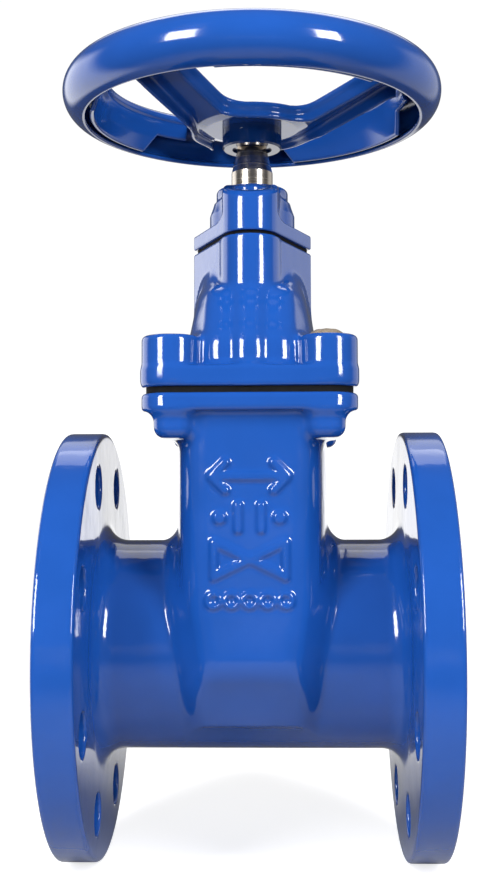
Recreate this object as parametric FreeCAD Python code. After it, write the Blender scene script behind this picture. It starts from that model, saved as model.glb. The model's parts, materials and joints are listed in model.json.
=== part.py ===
import FreeCAD, Part
import math
import os
from FreeCAD import Vector as V

# Flanged gate valve, DN 80, resilient wedge, non-rising stem, handwheel.
# Frame: +X along the pipe, +Y horizontal across it, +Z up the stem.
# Origin: where the stem axis meets the bore axis. All sizes in millimetres.
# The wedge is modelled shut, then lifted: the valve is open.

# ---- driving dimensions ----
FACE_TO_FACE = 180.0              # EN 558 series 14
BORE_R = 40.0
TRAVEL = 82.0                     # wedge lift

# heights of the joints, from the body up to the handwheel
BODY_TOP = 114.3                  # top of the body flange
BONNET_LOW = 116.9                # underside of the bonnet flange
BONNET_FLANGE_TOP = 126.0
BOSS_TOP = 139.8                  # corner bosses of the bonnet
NECK_TOP = 187.0
COVER_LOW = 189.0
LUG_TOP = 206.0                   # screw lugs of the gland cover
COVER_TOP = 218.0
HUB_LOW = 238.4
PLATE_Z = 248.0                   # underside of the handwheel plate
SHEET = 2.2                       # handwheel sheet
PLATE_TOP = PLATE_Z + SHEET

# joint flange: half sizes and corner radius
FLANGE_X, FLANGE_Y, FLANGE_R = 47.5, 68.0, 13.0

# stem, with a left-hand one-start thread
STEM_R = 10.0
PITCH = 4.0
THREAD_R = STEM_R - PITCH / 4     # at the pitch diameter
COLLAR_R = 17.0
COLLAR_LOW, COLLAR_HIGH = 176.0, 184.0
BUSH_BORE = STEM_R + 0.05
WASHER_BORE = STEM_R + 0.06
SQUARE_HALF = 7.0                 # square end of the stem
SQUARE_HOLE_HALF = 7.1

ORIGIN = V(0, 0, 0)
X_AXIS = V(1, 0, 0)
Z_AXIS = V(0, 0, 1)
SIDES = (-1, 1)


# ---- helpers ----
def corners(x, y):
    """The four places at plus and minus x and y."""
    return [(side_x * x, side_y * y) for side_x in SIDES for side_y in SIDES]


def polygon(points):
    return Part.makePolygon(points + points[:1])


def outline(points, z):
    """Closed wire through plan points (x, y) at height z."""
    return polygon([V(x, y, z) for x, y in points])


def prism(points, z0, z1):
    return Part.Face(outline(points, z0)).extrude(V(0, 0, z1 - z0))


def prism_x(points, x0, x1):
    """Polygon of (y, z), extruded from x0 to x1."""
    face = Part.Face(polygon([V(x0, y, z) for y, z in points]))
    return face.extrude(V(x1 - x0, 0, 0))


def loft(*stations):
    """Ruled solid through stations of (z, plan points)."""
    return Part.makeLoft([outline(points, z) for z, points in stations], True, True)


def loft_pairs(stations):
    """One ruled solid between each station and the next."""
    return [loft(a, b) for a, b in zip(stations, stations[1:])]


def turned(points):
    """Closed polygon of (r, z), turned about Z."""
    face = Part.Face(polygon([V(r, 0, z) for r, z in points]))
    return face.revolve(ORIGIN, Z_AXIS, 360)


def line(start, end):
    return Part.LineSegment(start, end).toShape()


def arc(start, middle, end):
    return Part.Arc(start, middle, end).toShape()


def cylinder(radius, z0, z1, x=0.0, y=0.0):
    return Part.makeCylinder(radius, z1 - z0, V(x, y, z0))


def cylinder_x(radius, half_length, y=0.0, z=0.0):
    """Cylinder along X, centred on the plane X = 0."""
    return Part.makeCylinder(radius, 2 * half_length, V(-half_length, y, z), X_AXIS)


def cylinders_at(places, radius, z0, z1):
    return [cylinder(radius, z0, z1, x, y) for x, y in places]


def cone(r0, r1, z0, z1, x=0.0, y=0.0):
    return Part.makeCone(r0, r1, z1 - z0, V(x, y, z0))


def tube(r_in, r_out, z0, z1):
    return cylinder(r_out, z0, z1).cut(cylinder(r_in, z0 - 1, z1 + 1))


def block(half_x, half_y, z0, z1, corner_r=0.0):
    """Box about the Z axis, with upright edges rounded to corner_r."""
    box = Part.makeBox(2 * half_x, 2 * half_y, z1 - z0, V(-half_x, -half_y, z0))
    if corner_r:
        box = box.makeFillet(corner_r, upright_edges(box))
    return box


def side_box(side, half_x, y_near, y_far, z0, z1):
    """Box on the +Y or -Y side, between two distances from the XZ plane."""
    y_low = min(side * y_near, side * y_far)
    return Part.makeBox(2 * half_x, y_far - y_near, z1 - z0, V(-half_x, y_low, z0))


def hexagon(across_flats, x=0.0, y=0.0, turn=0.0):
    radius = across_flats / math.sqrt(3)
    angles = [math.radians(60 * k + turn) for k in range(6)]
    return [(x + radius * math.cos(a), y + radius * math.sin(a)) for a in angles]


def octagon(x_end, x_side, y_end, y_side):
    """Plan rectangle with cut corners: (x_end, y_end) to (x_side, y_side)."""
    return [
        (-x_end, -y_end), (x_end, -y_end), (x_side, -y_side), (x_side, y_side),
        (x_end, y_end), (-x_end, y_end), (-x_side, y_side), (-x_side, -y_side),
    ]


def mirrored(quarter):
    """Whole plan outline from the corners (x, y) of its +X +Y quarter."""
    back = quarter[::-1]
    return (
        [(x, -y) for x, y in quarter] + [(x, y) for x, y in back]
        + [(-x, y) for x, y in quarter] + [(-x, -y) for x, y in back]
    )


def upright_edges(shape):
    def upright(edge):
        a, b = edge.Vertexes[0].Point, edge.Vertexes[-1].Point
        return abs(a.x - b.x) < 1e-6 and abs(a.y - b.y) < 1e-6 and abs(a.z - b.z) > 1e-3
    return [e for e in shape.Edges if upright(e)]


def top_edges(shape, z):
    return [e for e in shape.Edges if abs(e.BoundBox.ZMin - z) < 1e-3]


def bottom_edges(shape, z):
    return [e for e in shape.Edges if abs(e.BoundBox.ZMax - z) < 1e-3]


def fuse(shapes):
    return shapes[0].fuse(shapes[1:]).removeSplitter()


def cut_all(shape, tools):
    """Cut the tools, joined into one, out of the shape."""
    return shape.cut(tools[0].fuse(tools[1:]))


def soften(shape, radius, edges):
    """Round the edges together at the largest radius that builds, else one by one."""
    for r in (radius, 0.75 * radius, 0.5 * radius):
        # the fillet can fail on edges that meet or run into smooth joins
        try:
            out = shape.makeFillet(r, edges)
            if out.isValid() and out.Volume > 0 and len(out.Solids) == len(shape.Solids):
                return out
        except Exception:
            pass
    for edge in edges:
        centre = edge.CenterOfMass
        matches = [e for e in shape.Edges if (e.CenterOfMass - centre).Length < 1e-3]
        # an edge that can't be rounded, or has gone, is left as it is
        try:
            out = shape.makeFillet(0.5 * radius, matches)
            if matches and out.isValid() and len(out.Solids) == len(shape.Solids):
                shape = out
        except Exception:
            pass
    return shape


def save(shape, node):
    solids = shape.Solids
    out = solids[0] if len(solids) == 1 else Part.makeCompound(solids)
    out.exportStep("parts/%s.step" % node)


# ---- screws and wax plugs ----
class ScrewSet:
    """Socket screws of one size, with the counterbores they sit in."""

    def __init__(self, places, diameter, head_d, head_h, key, seat_z, length, recess_r):
        self.places = places
        self.diameter = diameter
        self.head_d = head_d
        self.head_h = head_h
        self.key = key                # across the flats of the socket
        self.seat_z = seat_z          # underside of the head
        self.length = length
        self.recess_r = recess_r      # counterbore radius
        self.head_top = seat_z + head_h


BONNET_SCREWS = ScrewSet(corners(34.0, 54.0), diameter=10, head_d=16, head_h=10, key=8,
                         seat_z=125.5, length=28, recess_r=8.6)
GLAND_Y = 35.0
GLAND_SCREWS = ScrewSet([(0, -GLAND_Y), (0, GLAND_Y)], diameter=8, head_d=13, head_h=8, key=6,
                        seat_z=196.5, length=26, recess_r=7.1)
GLAND_HOLE_R = 4.5


def socket_screw(kind, x, y):
    radius = kind.diameter / 2
    tip_z = kind.seat_z - kind.length
    shank = cylinder(radius, tip_z, kind.seat_z + 0.2, x, y)
    head = cylinder(kind.head_d / 2, kind.seat_z, kind.head_top, x, y)
    head = head.makeFillet(0.8, top_edges(head, kind.head_top))
    tip = cone(radius - 1.0, radius, tip_z - 1.0, tip_z, x, y)
    screw = shank.fuse([head, tip]).removeSplitter()
    socket_z = kind.seat_z + kind.head_h * 0.45
    return screw.cut(prism(hexagon(kind.key, x, y), socket_z, kind.head_top + 1))


def screws(kind):
    return Part.makeCompound([socket_screw(kind, x, y) for x, y in kind.places])


def wax(kind, top, crown, x, y):
    """Plug poured over a screw head, with a crowned top."""
    radius = kind.recess_r
    plug = cylinder(radius, kind.head_top, top, x, y)
    sphere_r = (radius * radius + crown * crown) / (2 * crown)
    cap = Part.makeSphere(sphere_r, V(x, y, top + crown - sphere_r))
    cap = cap.common(cylinder(radius, top - 0.01, top + crown + 1, x, y))
    return plug.fuse(cap).removeSplitter()


def wax_seals():
    plugs = []
    for x, y in BONNET_SCREWS.places:
        # the plug at +X -Y stands proud of its boss
        proud = x > 0 and y < 0
        top, crown = (BOSS_TOP + 0.5, 3.2) if proud else (BOSS_TOP - 0.5, 1.6)
        plugs.append(wax(BONNET_SCREWS, top, crown, x, y))
    plugs += [wax(GLAND_SCREWS, LUG_TOP - 0.4, 1.0, x, y) for x, y in GLAND_SCREWS.places]
    return Part.makeCompound(plugs)


# ---- neck seam ----
NOSE_R = 13.0             # round ends of the outline, about the gland screws
SIDE_X = 28.5             # side corner of the outline
SIDE_GROWTH = 1.12        # how far the corner moves for each millimetre of offset


def neck_prism(z0, z1, grow=0.0):
    """Two round noses joined by flat flanks to a corner on each side."""
    nose_r = NOSE_R + grow
    side_x = SIDE_X + grow * SIDE_GROWTH
    # tangent point on the +Y nose of the line from the +X corner
    to_corner = math.atan2(-GLAND_Y, side_x)
    angle = to_corner + math.acos(nose_r / math.hypot(side_x, GLAND_Y))
    x, y = nose_r * math.cos(angle), GLAND_Y + nose_r * math.sin(angle)
    tip_y = GLAND_Y + nose_r
    right, left = V(side_x, 0, z0), V(-side_x, 0, z0)
    wire = Part.Wire([
        line(right, V(x, y, z0)),
        arc(V(x, y, z0), V(0, tip_y, z0), V(-x, y, z0)),
        line(V(-x, y, z0), left),
        line(left, V(-x, -y, z0)),
        arc(V(-x, -y, z0), V(0, -tip_y, z0), V(x, -y, z0)),
        line(V(x, -y, z0), right),
    ])
    return Part.Face(wire).extrude(V(0, 0, z1 - z0))


# ---- body ----
# pipe flanges, EN 1092-2 DN 80 PN 16
PIPE_FLANGE_R = 100.0
PIPE_FLANGE_T = 20.0              # with the raised face
RAISED_R, RAISED_T = 66.0, 3.0
BOLT_CIRCLE_R, BOLT_HOLES, BOLT_HOLE_R = 80.0, 8, 9.5
PIPE_NECK_R = 49.0
RIM_ROUND = 2.0                   # rounding of the flange rims
ROOT_FILLET = 10.0                # from flange to pipe neck
ARC_DROP = 1 - math.sqrt(0.5)     # inset of a quarter arc's middle, per unit radius

# outside of the wedge chamber: corners (x, y) of a quarter of its plan
CHAMBER_WIDE = [(22.5, 62), (30, 54.5), (36, 20)]
CHAMBER_SLIM = [(14, 62), (21.5, 54.5), (27.5, 20)]
CHAMBER_LOW, CHAMBER_WIDE_Z, CHAMBER_TOP = -30, 18, 108
# the chamber seen along the pipe, as (y, z)
CHAMBER_SIDE = [(-62, 108), (-62, -7), (-39.5, -28.5), (39.5, -28.5), (62, -7), (62, 108)]

# inside of the wedge chamber
CAVITY_LOW, CAVITY_MID = -12, 60
CAVITY_Y_END, CAVITY_Y_SIDE = 54, 48
CHAMBER_MOUTH = octagon(23, 26, CAVITY_Y_END, CAVITY_Y_SIDE)
CAVITY_SIDE = [(-54, 120), (-54, 2), (-46, -12), (46, -12), (54, 2), (54, 120)]   # (y, z)
TAPER = 0.0524                    # wedge face taper, 3 degrees
WEDGE_HALF = 20.0                 # half thickness of the chamber at the bore axis

RIB_HALF, RIB_NEAR, RIB_FAR, RIB_LOW = 5, 47.0, 58.0, -6
# pads under the screws of the joint flange
PAD_X, PAD_Y, PAD_LOW, PAD_HIGH = 8.9, 17.0, 94.6, 108.6
PAD_PLACES = corners(41.8 - PAD_X, FLANGE_Y - 2.3 - PAD_Y)


def pipe_outer():
    """Pipe neck, both flanges and their fillets, turned about the bore axis."""
    face_x = FACE_TO_FACE / 2
    rim_x = face_x - RAISED_T
    inner_x = face_x - PIPE_FLANGE_T
    neck_x = inner_x - ROOT_FILLET
    rim_r = PIPE_FLANGE_R
    round_drop, root_drop = RIM_ROUND * ARC_DROP, ROOT_FILLET * ARC_DROP

    def flange_profile(side):
        """Edges from the middle of the raised face in to the pipe neck."""
        def at(x, r):
            return V(side * x, 0, r)
        rim_out = at(rim_x, rim_r - RIM_ROUND), at(rim_x - RIM_ROUND, rim_r)
        rim_in = at(inner_x + RIM_ROUND, rim_r), at(inner_x, rim_r - RIM_ROUND)
        root = at(inner_x, PIPE_NECK_R + ROOT_FILLET)
        return [
            line(at(face_x, 0), at(face_x, RAISED_R)),
            line(at(face_x, RAISED_R), at(rim_x, RAISED_R)),
            line(at(rim_x, RAISED_R), rim_out[0]),
            arc(rim_out[0], at(rim_x - round_drop, rim_r - round_drop), rim_out[1]),
            line(rim_out[1], rim_in[0]),
            arc(rim_in[0], at(inner_x + round_drop, rim_r - round_drop), rim_in[1]),
            line(rim_in[1], root),
            arc(root, at(inner_x - root_drop, PIPE_NECK_R + root_drop), at(neck_x, PIPE_NECK_R)),
        ]

    neck = line(V(neck_x, 0, PIPE_NECK_R), V(-neck_x, 0, PIPE_NECK_R))
    axis = line(V(-face_x, 0, 0), V(face_x, 0, 0))
    edges = flange_profile(1) + [neck] + flange_profile(-1) + [axis]
    wire = Part.Wire(Part.__sortEdges__(edges))
    return Part.Face(wire).revolve(ORIGIN, X_AXIS, 360)


def chamber_outer():
    """Wedge chamber: wide above, narrowing and sloping in below."""
    wide, slim = mirrored(CHAMBER_WIDE), mirrored(CHAMBER_SLIM)
    upper = loft((CHAMBER_WIDE_Z, wide), (CHAMBER_TOP, wide))
    lower = loft((CHAMBER_LOW, slim), (CHAMBER_WIDE_Z, wide))
    chamber = fuse([upper, lower])
    side = prism_x(CHAMBER_SIDE, -40, 40)
    bend_y, bend_z = CHAMBER_SIDE[4]
    bends = [e for e in side.Edges if abs(abs(e.CenterOfMass.y) - bend_y) < 1e-3
             and abs(e.CenterOfMass.z - bend_z) < 1e-3]
    side = side.makeFillet(7, bends)
    return chamber.common(side).removeSplitter()


def chamber_half(z):
    """Half thickness of the tapered wedge chamber at height z."""
    return WEDGE_HALF + TAPER * z


def chamber_cavity():
    """Tapered pocket that the wedge rises through."""
    stations = []
    for z in (CAVITY_LOW, CAVITY_MID):
        half = chamber_half(z)
        stations.append((z, octagon(half - 3, half, CAVITY_Y_END, CAVITY_Y_SIDE)))
    stations.append((BODY_TOP + 1, CHAMBER_MOUTH))
    cavity = fuse(loft_pairs(stations))
    return cavity.common(prism_x(CAVITY_SIDE, -40, 40)).removeSplitter()


def bolt_holes():
    """Holes straddling the upright and level centrelines, in the flanges only."""
    between_flanges = cylinder_x(2 * BOLT_CIRCLE_R, 50)
    holes = []
    for k in range(BOLT_HOLES):
        angle = math.radians(360.0 / BOLT_HOLES * (k + 0.5))
        y, z = BOLT_CIRCLE_R * math.cos(angle), BOLT_CIRCLE_R * math.sin(angle)
        holes.append(cylinder_x(BOLT_HOLE_R, FACE_TO_FACE / 2 + 10, y, z).cut(between_flanges))
    return holes


def valve_body():
    outer = pipe_outer().fuse(chamber_outer()).removeSplitter()
    pads = []
    for x, y in PAD_PLACES:
        pad = block(PAD_X, PAD_Y, PAD_LOW, PAD_HIGH, 7)
        pad = pad.makeFillet(4, bottom_edges(pad, PAD_LOW))
        pad.translate(V(x, y, 0))
        pads.append(pad)
    flange = block(FLANGE_X, FLANGE_Y, BODY_TOP - 7.8, BODY_TOP, FLANGE_R)
    flange = soften(flange, 1.5, [e for e in flange.Edges if e.BoundBox.ZLength < 1e-6])
    outer = fuse([outer, flange] + pads)

    bore = cylinder_x(BORE_R, FACE_TO_FACE / 2 + 5)
    # seat for the wedge, turned a little deeper than the bore
    bore = bore.fuse(cylinder_x(BORE_R + 0.4, 19))
    # upright ribs in the chamber that the wedge shoes run on
    ribs = [side_box(side, RIB_HALF, RIB_NEAR, RIB_FAR, RIB_LOW, BODY_TOP - 1).cut(bore)
            for side in SIDES]
    body = outer.cut(bore).cut(chamber_cavity())
    body = body.fuse([rib.common(outer) for rib in ribs]).removeSplitter()
    body = body.cut(bore)
    screw_holes = cylinders_at(BONNET_SCREWS.places, 5.05, 96, BODY_TOP + 1)
    return body.cut(Part.makeCompound(bolt_holes() + screw_holes)).removeSplitter()


# ---- bonnet ----
# bell over the raised wedge: height, then the three corners of a quarter of its plan
BELL = (
    (139.0, (17.5, 61.5), (25.5, 50.0), (32.3, 16.0)),
    (147.0, (17.5, 56.3), (25.2, 45.0), (30.8, 14.0)),
    (156.0, (17.3, 50.5), (24.8, 39.0), (29.0, 12.0)),
    (162.5, (17.0, 45.5), (24.3, 33.5), (27.8, 10.5)),
    (168.8, (16.5, 35.0), (23.5, 24.5), (26.5, 9.0)),
    (177.5, (14.8, 26.0), (21.3, 16.5), (23.6, 6.0)),
    (184.0, (10.0, 18.0), (16.5, 10.0), (19.0, 4.0)),
)
# inside of the bell: height and plan
BONNET_POCKET = (
    (BONNET_LOW - 1, octagon(23, 26, 50, 44)),
    (BONNET_FLANGE_TOP, octagon(22.5, 24.5, 46, 40)),
    (136, octagon(19, 21, 28, 22)),
    (160, octagon(17.5, 19.5, 24, 18)),
)
COLLAR_CHAMBER_R = 20.0


def bell_skirt():
    """Upright wall from the bonnet flange up to the foot of the bell."""
    foot_z, *quarter = BELL[0]
    wall = prism(mirrored(quarter), BONNET_LOW + 2, foot_z)
    # if the corner fillet can't be built, the corners stay sharp
    try:
        wall = wall.makeFillet(5, upright_edges(wall))
    except Exception:
        pass
    return wall


def bonnet_flange():
    flange = block(FLANGE_X, FLANGE_Y, BONNET_LOW, BONNET_FLANGE_TOP, FLANGE_R)
    # the test on ZMax takes in the upright edges as well as both rims
    edges = [e for e in flange.Edges if abs(e.BoundBox.ZMax - BONNET_FLANGE_TOP) < 1e-6
             or abs(e.BoundBox.ZMax - BONNET_LOW) < 1e-6]
    return soften(flange, 1.2, edges)


def bonnet():
    roof = loft(*[(z, mirrored(quarter)) for z, *quarter in BELL])
    neck = neck_prism(140, NECK_TOP)
    # the noses of the neck run down the +Y and -Y ends of the bell
    noses = cylinders_at(GLAND_SCREWS.places, NOSE_R, 130, 150)
    bosses = []
    boss_places = corners(FLANGE_X - FLANGE_R, FLANGE_Y - FLANGE_R)
    for boss in cylinders_at(boss_places, FLANGE_R, BONNET_LOW + 1.2, BOSS_TOP):
        bosses.append(boss.makeFillet(1.5, top_edges(boss, BOSS_TOP)))
    out = bell_skirt().fuse([roof, neck, bonnet_flange()] + noses + bosses).removeSplitter()
    out = cut_all(out, loft_pairs(BONNET_POCKET))
    cuts = [
        cylinder(10.3, 150, NECK_TOP + 1),                # stem hole
        cylinder(14.05, 164.0, 175),                      # back-seal seat
        cylinder(COLLAR_CHAMBER_R, 173.0, NECK_TOP + 1),  # collar chamber
    ]
    places = BONNET_SCREWS.places
    cuts += cylinders_at(places, 5.6, BONNET_LOW - 1, 140)
    cuts += cylinders_at(places, BONNET_SCREWS.recess_r, BONNET_SCREWS.seat_z, BOSS_TOP + 5)
    cuts += cylinders_at(GLAND_SCREWS.places, 4.05, 166, NECK_TOP + 1)
    return cut_all(out, cuts).removeSplitter()


def bonnet_gasket():
    inset = 2.0
    gasket = block(FLANGE_X - inset, FLANGE_Y - inset, BODY_TOP, BONNET_LOW, FLANGE_R - inset)
    z0, z1 = BODY_TOP - 1, BONNET_LOW + 1
    gasket = gasket.cut(prism(CHAMBER_MOUTH, z0, z1))
    for hole in cylinders_at(BONNET_SCREWS.places, 5.5, z0, z1):
        gasket = gasket.cut(hole)
    return gasket


# ---- gland ----
BUSH_R = 14.0
BUSH_TOP = 214.0
BUSH_FOOT_R = 17.0
BUSH_FOOT_TOP = COVER_LOW + 2.2
TOWER_R, TOWER_TOP_R = 20.5, 17.3      # round middle of the cover, below and above its cone
TOWER_CONE_LOW, TOWER_CONE_TOP = 209.5, 213.0
O_RING_SECTION_R = 1.25
GROOVE_HALF = 1.4                      # half height of an O-ring groove
OUTER_RING_Z, OUTER_GROOVE_R = (196.0, 206.0), 11.75
INNER_RING_Z, INNER_GROOVE_R = (200.0, 210.0), 12.5


def gland_cover():
    plate = neck_prism(COVER_LOW, 195.8)
    tower = cylinder(TOWER_R, 195.0, TOWER_CONE_LOW)
    tower = tower.fuse(cone(TOWER_R, TOWER_TOP_R, TOWER_CONE_LOW, TOWER_CONE_TOP))
    tower = tower.fuse(cylinder(TOWER_TOP_R, TOWER_CONE_TOP, COVER_TOP))
    lugs = cylinders_at(GLAND_SCREWS.places, NOSE_R, COVER_LOW, LUG_TOP)
    lugs.append(block(NOSE_R, GLAND_Y, COVER_LOW, LUG_TOP))
    cover = fuse([plate, tower] + lugs)
    cover = soften(cover, 2.0, top_edges(cover, COVER_TOP))
    cuts = [
        cylinder(BUSH_R, COVER_LOW - 1, COVER_TOP + 1),
        cylinder(17.3, COVER_LOW - 1, BUSH_FOOT_TOP),     # recess for the foot of the bush
    ]
    cuts += cylinders_at(GLAND_SCREWS.places, GLAND_HOLE_R, COVER_LOW - 1, LUG_TOP + 1)
    cuts += cylinders_at(GLAND_SCREWS.places, GLAND_SCREWS.recess_r, GLAND_SCREWS.seat_z, 210)
    return cut_all(cover, cuts).removeSplitter()


def gland_gasket():
    gasket = neck_prism(NECK_TOP, COVER_LOW, grow=-1.8)
    gasket = gasket.cut(cylinder(COLLAR_CHAMBER_R, 180, 190))
    for hole in cylinders_at(GLAND_SCREWS.places, GLAND_HOLE_R, 180, 190):
        gasket = gasket.cut(hole)
    return gasket


def gland_bush():
    """Flanged bush with two outer and two inner seal grooves."""
    sleeve = tube(BUSH_BORE, BUSH_R, BUSH_FOOT_TOP, BUSH_TOP)
    foot = tube(BUSH_BORE, BUSH_FOOT_R, COVER_LOW + 0.2, BUSH_FOOT_TOP)
    bush = sleeve.fuse(foot).removeSplitter()
    for z in OUTER_RING_Z:
        bush = bush.cut(tube(OUTER_GROOVE_R, BUSH_R + 0.5, z - GROOVE_HALF, z + GROOVE_HALF))
    for z in INNER_RING_Z:
        bush = bush.cut(tube(9.5, INNER_GROOVE_R, z - GROOVE_HALF, z + GROOVE_HALF))
    return bush.removeSplitter()


def o_rings(heights, middle_r, envelope):
    """O-rings trimmed to the space they are squeezed into."""
    rings = []
    for z in heights:
        ring = Part.makeTorus(middle_r, O_RING_SECTION_R, V(0, 0, z), Z_AXIS, -180, 180, 360)
        rings.append(ring.common(envelope))
    return Part.makeCompound(rings)


# seal profiles of (r, z)
WIPER = (
    (BUSH_BORE, 214.1), (13.95, 214.1), (13.95, 217.4),
    (12.2, 218.0), (11.2, 218.0), (BUSH_BORE, 219.0),
)
BACK_SEAL = (
    (WASHER_BORE, 164.05), (14.0, 164.05), (14.0, 172.9), (12.0, 172.9),
    (11.6, 169.5), (10.6, 169.5), (WASHER_BORE, 172.9),
)

# ---- stem ----
# (r, z) from the foot up; a plain cylinder stands in for the thread
STEM_PROFILE = (
    (0, 44.0), (7.6, 44.0), (THREAD_R, 46.0), (THREAD_R, 160.0),
    (8.2, 161.5), (8.2, 163.0), (STEM_R, 164.5),
    (STEM_R, COLLAR_LOW), (COLLAR_R, COLLAR_LOW), (COLLAR_R, COLLAR_HIGH), (STEM_R, COLLAR_HIGH),
    (STEM_R, 226.6), (SQUARE_HALF, HUB_LOW + 0.2), (0, HUB_LOW + 0.2),
)


def stem():
    square = block(SQUARE_HALF, SQUARE_HALF, HUB_LOW + 0.1, PLATE_TOP + 0.1)
    square = square.common(cylinder(9.2, 237, PLATE_TOP))
    out = turned(STEM_PROFILE).fuse(square).removeSplitter()
    # hole for the handwheel screw
    return out.cut(cylinder(3.4, 232, 251)).removeSplitter()


# ---- wedge, modelled shut ----
WEDGE_TOP = 40.0
WEDGE_GAP = 0.15                     # wedge to chamber when shut
GATE_Y = 44.0                        # half width of the gate above the bore axis
RUBBER_T = 3.0
STEM_PASSAGE_R = 11.0
NUT_X, NUT_Y = 16.5, 14.0
NUT_LOW, NUT_HIGH = 46.0, 70.0
NUT_BORE_R, NUT_MOUTH_R, NUT_BEVEL = 9.3, 10.6, 1.2
SHOE_LOW, SHOE_HIGH = 6, 31
SHOE_FACE = 51.0                     # outer face of a shoe, from the XZ plane


def gate_solid(shrink, top):
    """Gate plate: round below to fit the bore, straight flanks above, faces tapered."""
    radius = BORE_R - 0.1 - shrink
    flank_y = GATE_Y - shrink
    stations = []
    for z in (-45, top):
        half = chamber_half(z) - WEDGE_GAP - shrink
        stations.append((z, [(-half, -60), (half, -60), (half, 60), (-half, 60)]))
    slab = loft(*stations)
    disc = cylinder_x(radius, 50)
    # flanks widen from the bore radius to the chamber guides above the axis
    foot_y = radius - 0.02
    flanks = prism_x([(-foot_y, 0), (-flank_y, 6), (-flank_y, top),
                      (flank_y, top), (flank_y, 6), (foot_y, 0)], -50, 50)
    return slab.common(disc.fuse(flanks).removeSplitter()).removeSplitter()


def guide_shoe(side):
    """Channel-shaped slide that clips to the wedge flank and straddles a guide rib."""
    shoe = side_box(side, 10, GATE_Y, SHOE_FACE, SHOE_LOW, SHOE_HIGH)
    face_edges = [e for e in shoe.Edges if abs(abs(e.CenterOfMass.y) - SHOE_FACE) < 1e-6]
    shoe = shoe.makeFillet(1.5, face_edges)
    shoe = shoe.cut(side_box(side, RIB_HALF + 0.4, RIB_NEAR - 0.4, 55.0, 2, 42))
    tongue = side_box(side, 5, 41.0, GATE_Y + 0.5, 10, 28)
    return shoe.fuse(tongue).removeSplitter()


def wedge_core_and_rubber(shoes):
    gate = gate_solid(0.0, WEDGE_TOP)
    core = gate_solid(RUBBER_T, WEDGE_TOP - RUBBER_T + 0.001)
    housing = block(16.5, 20.0, 30.0, 72.0, 4.0)
    core = core.fuse(housing).removeSplitter()
    core = core.cut(block(30, NUT_Y + 0.1, NUT_LOW - 0.1, NUT_HIGH + 0.1))
    core = core.cut(cylinder(STEM_PASSAGE_R, WEDGE_TOP - 2, 80))
    # the hole below is wider, to leave room for a rubber lining
    core = core.cut(cylinder(13.5, -60, 44.5))
    tongues = shoes[0].fuse(shoes[1])
    rubber = gate.cut(core).cut(cylinder(STEM_PASSAGE_R, -60, 60)).cut(housing)
    return core.cut(tongues), rubber.cut(tongues)


def wedge_nut():
    nut = block(NUT_X, NUT_Y, NUT_LOW, NUT_HIGH, 2.0)
    nut = nut.cut(cylinder(NUT_BORE_R, NUT_LOW - 1, NUT_HIGH + 1))
    nut = nut.cut(cone(NUT_MOUTH_R, NUT_BORE_R, NUT_LOW - 0.01, NUT_LOW + NUT_BEVEL))
    return nut.cut(cone(NUT_BORE_R, NUT_MOUTH_R, NUT_HIGH - NUT_BEVEL, NUT_HIGH + 0.01))


def save_wedge():
    """Build the wedge pieces shut, lift them to the open place and save them."""
    shoes = [guide_shoe(side) for side in SIDES]
    core, rubber = wedge_core_and_rubber(shoes)
    pieces = (
        (core, "wedge_core"),
        (rubber, "wedge_rubber"),
        (wedge_nut(), "wedge_nut"),
        (Part.makeCompound(shoes), "wedge_guide_shoes"),
    )
    for piece, node in pieces:
        piece.translate(V(0, 0, TRAVEL))
        save(piece, node)


# ---- handwheel ----
RIM_R, RIM_Z, RIM_SECTION_R = 79.1, 263.8, 12.5   # centre and radius of the rim section
RIM_START, RIM_END = 128.0, -74.0                 # sweep of the rim section, degrees
WINDOWS = (17.0, 137.0, -103.0)     # window centres, degrees from -Y towards +X
SPOKE_TURN = 60.0 - 90.0            # window centre to spoke, as an angle from +X
SPOKE_HALF = 13.0
WINDOW_IN_R, FOLD_R = 30.0, 71.5    # inner and outer radius of the windows
WINDOW_CORNER_R = 7.0
# (r, z) bounds of the folded window edges: upper side outward, lower side back in
HEM_BAND = (
    (26.0, PLATE_Z + 1.0), (34.0, 252.4), (61.0, 266.5), (FOLD_R, 272.9), (FOLD_R + 4, 274.0),
    (FOLD_R + 4, 264.0), (61.0, 258.5), (34.0, 245.5), (26.0, PLATE_Z - 5.5),
)
# (r, z) of the inner wall of the rim
RIM_WALL = (
    (FOLD_R - 0.6, 272.5), (FOLD_R + SHEET - 0.4, 273.7), (77.0 + SHEET, 252.6), (77.0, 252.6),
)
# (x, z) of the part of that wall kept at a window, with a ramp at each end
TAB = (
    (-34, 250), (34, 250), (43, 262), (50, 262), (50, 276), (-50, 276), (-50, 262), (-43, 262),
)
WASHER_T, LOCK_WASHER_T = 2.0, 2.2
WASHER_HOLE_R = 4.25


def wheel_dish():
    """Pressed sheet from the hub plate out, over and under the rim."""
    def on_rim(degrees):
        angle = math.radians(degrees)
        radius = RIM_SECTION_R - SHEET / 2
        return V(RIM_R + radius * math.cos(angle), 0, RIM_Z + radius * math.sin(angle))

    middle_z = PLATE_Z + SHEET / 2
    stops = [V(4.0, 0, middle_z), V(24.0, 0, middle_z), V(34.0, 0, 253.5), V(61.0, 0, 267.5),
             on_rim(RIM_START)]
    edges = [line(a, b) for a, b in zip(stops, stops[1:])]
    edges.append(arc(stops[-1], on_rim((RIM_START + RIM_END) / 2), on_rim(RIM_END)))
    strip = Part.Wire(edges).makeOffset2D(
        SHEET / 2, join=0, fill=False, openResult=False, intersection=False)
    # the offset may come back as a compound
    if not isinstance(strip, Part.Wire):
        strip = Part.Wire(strip.Edges)
    dish = Part.Face(strip).revolve(ORIGIN, Z_AXIS, 360)
    # the strip's direction may turn the solid inside out
    return dish.reversed() if dish.Volume < 0 else dish


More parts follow.
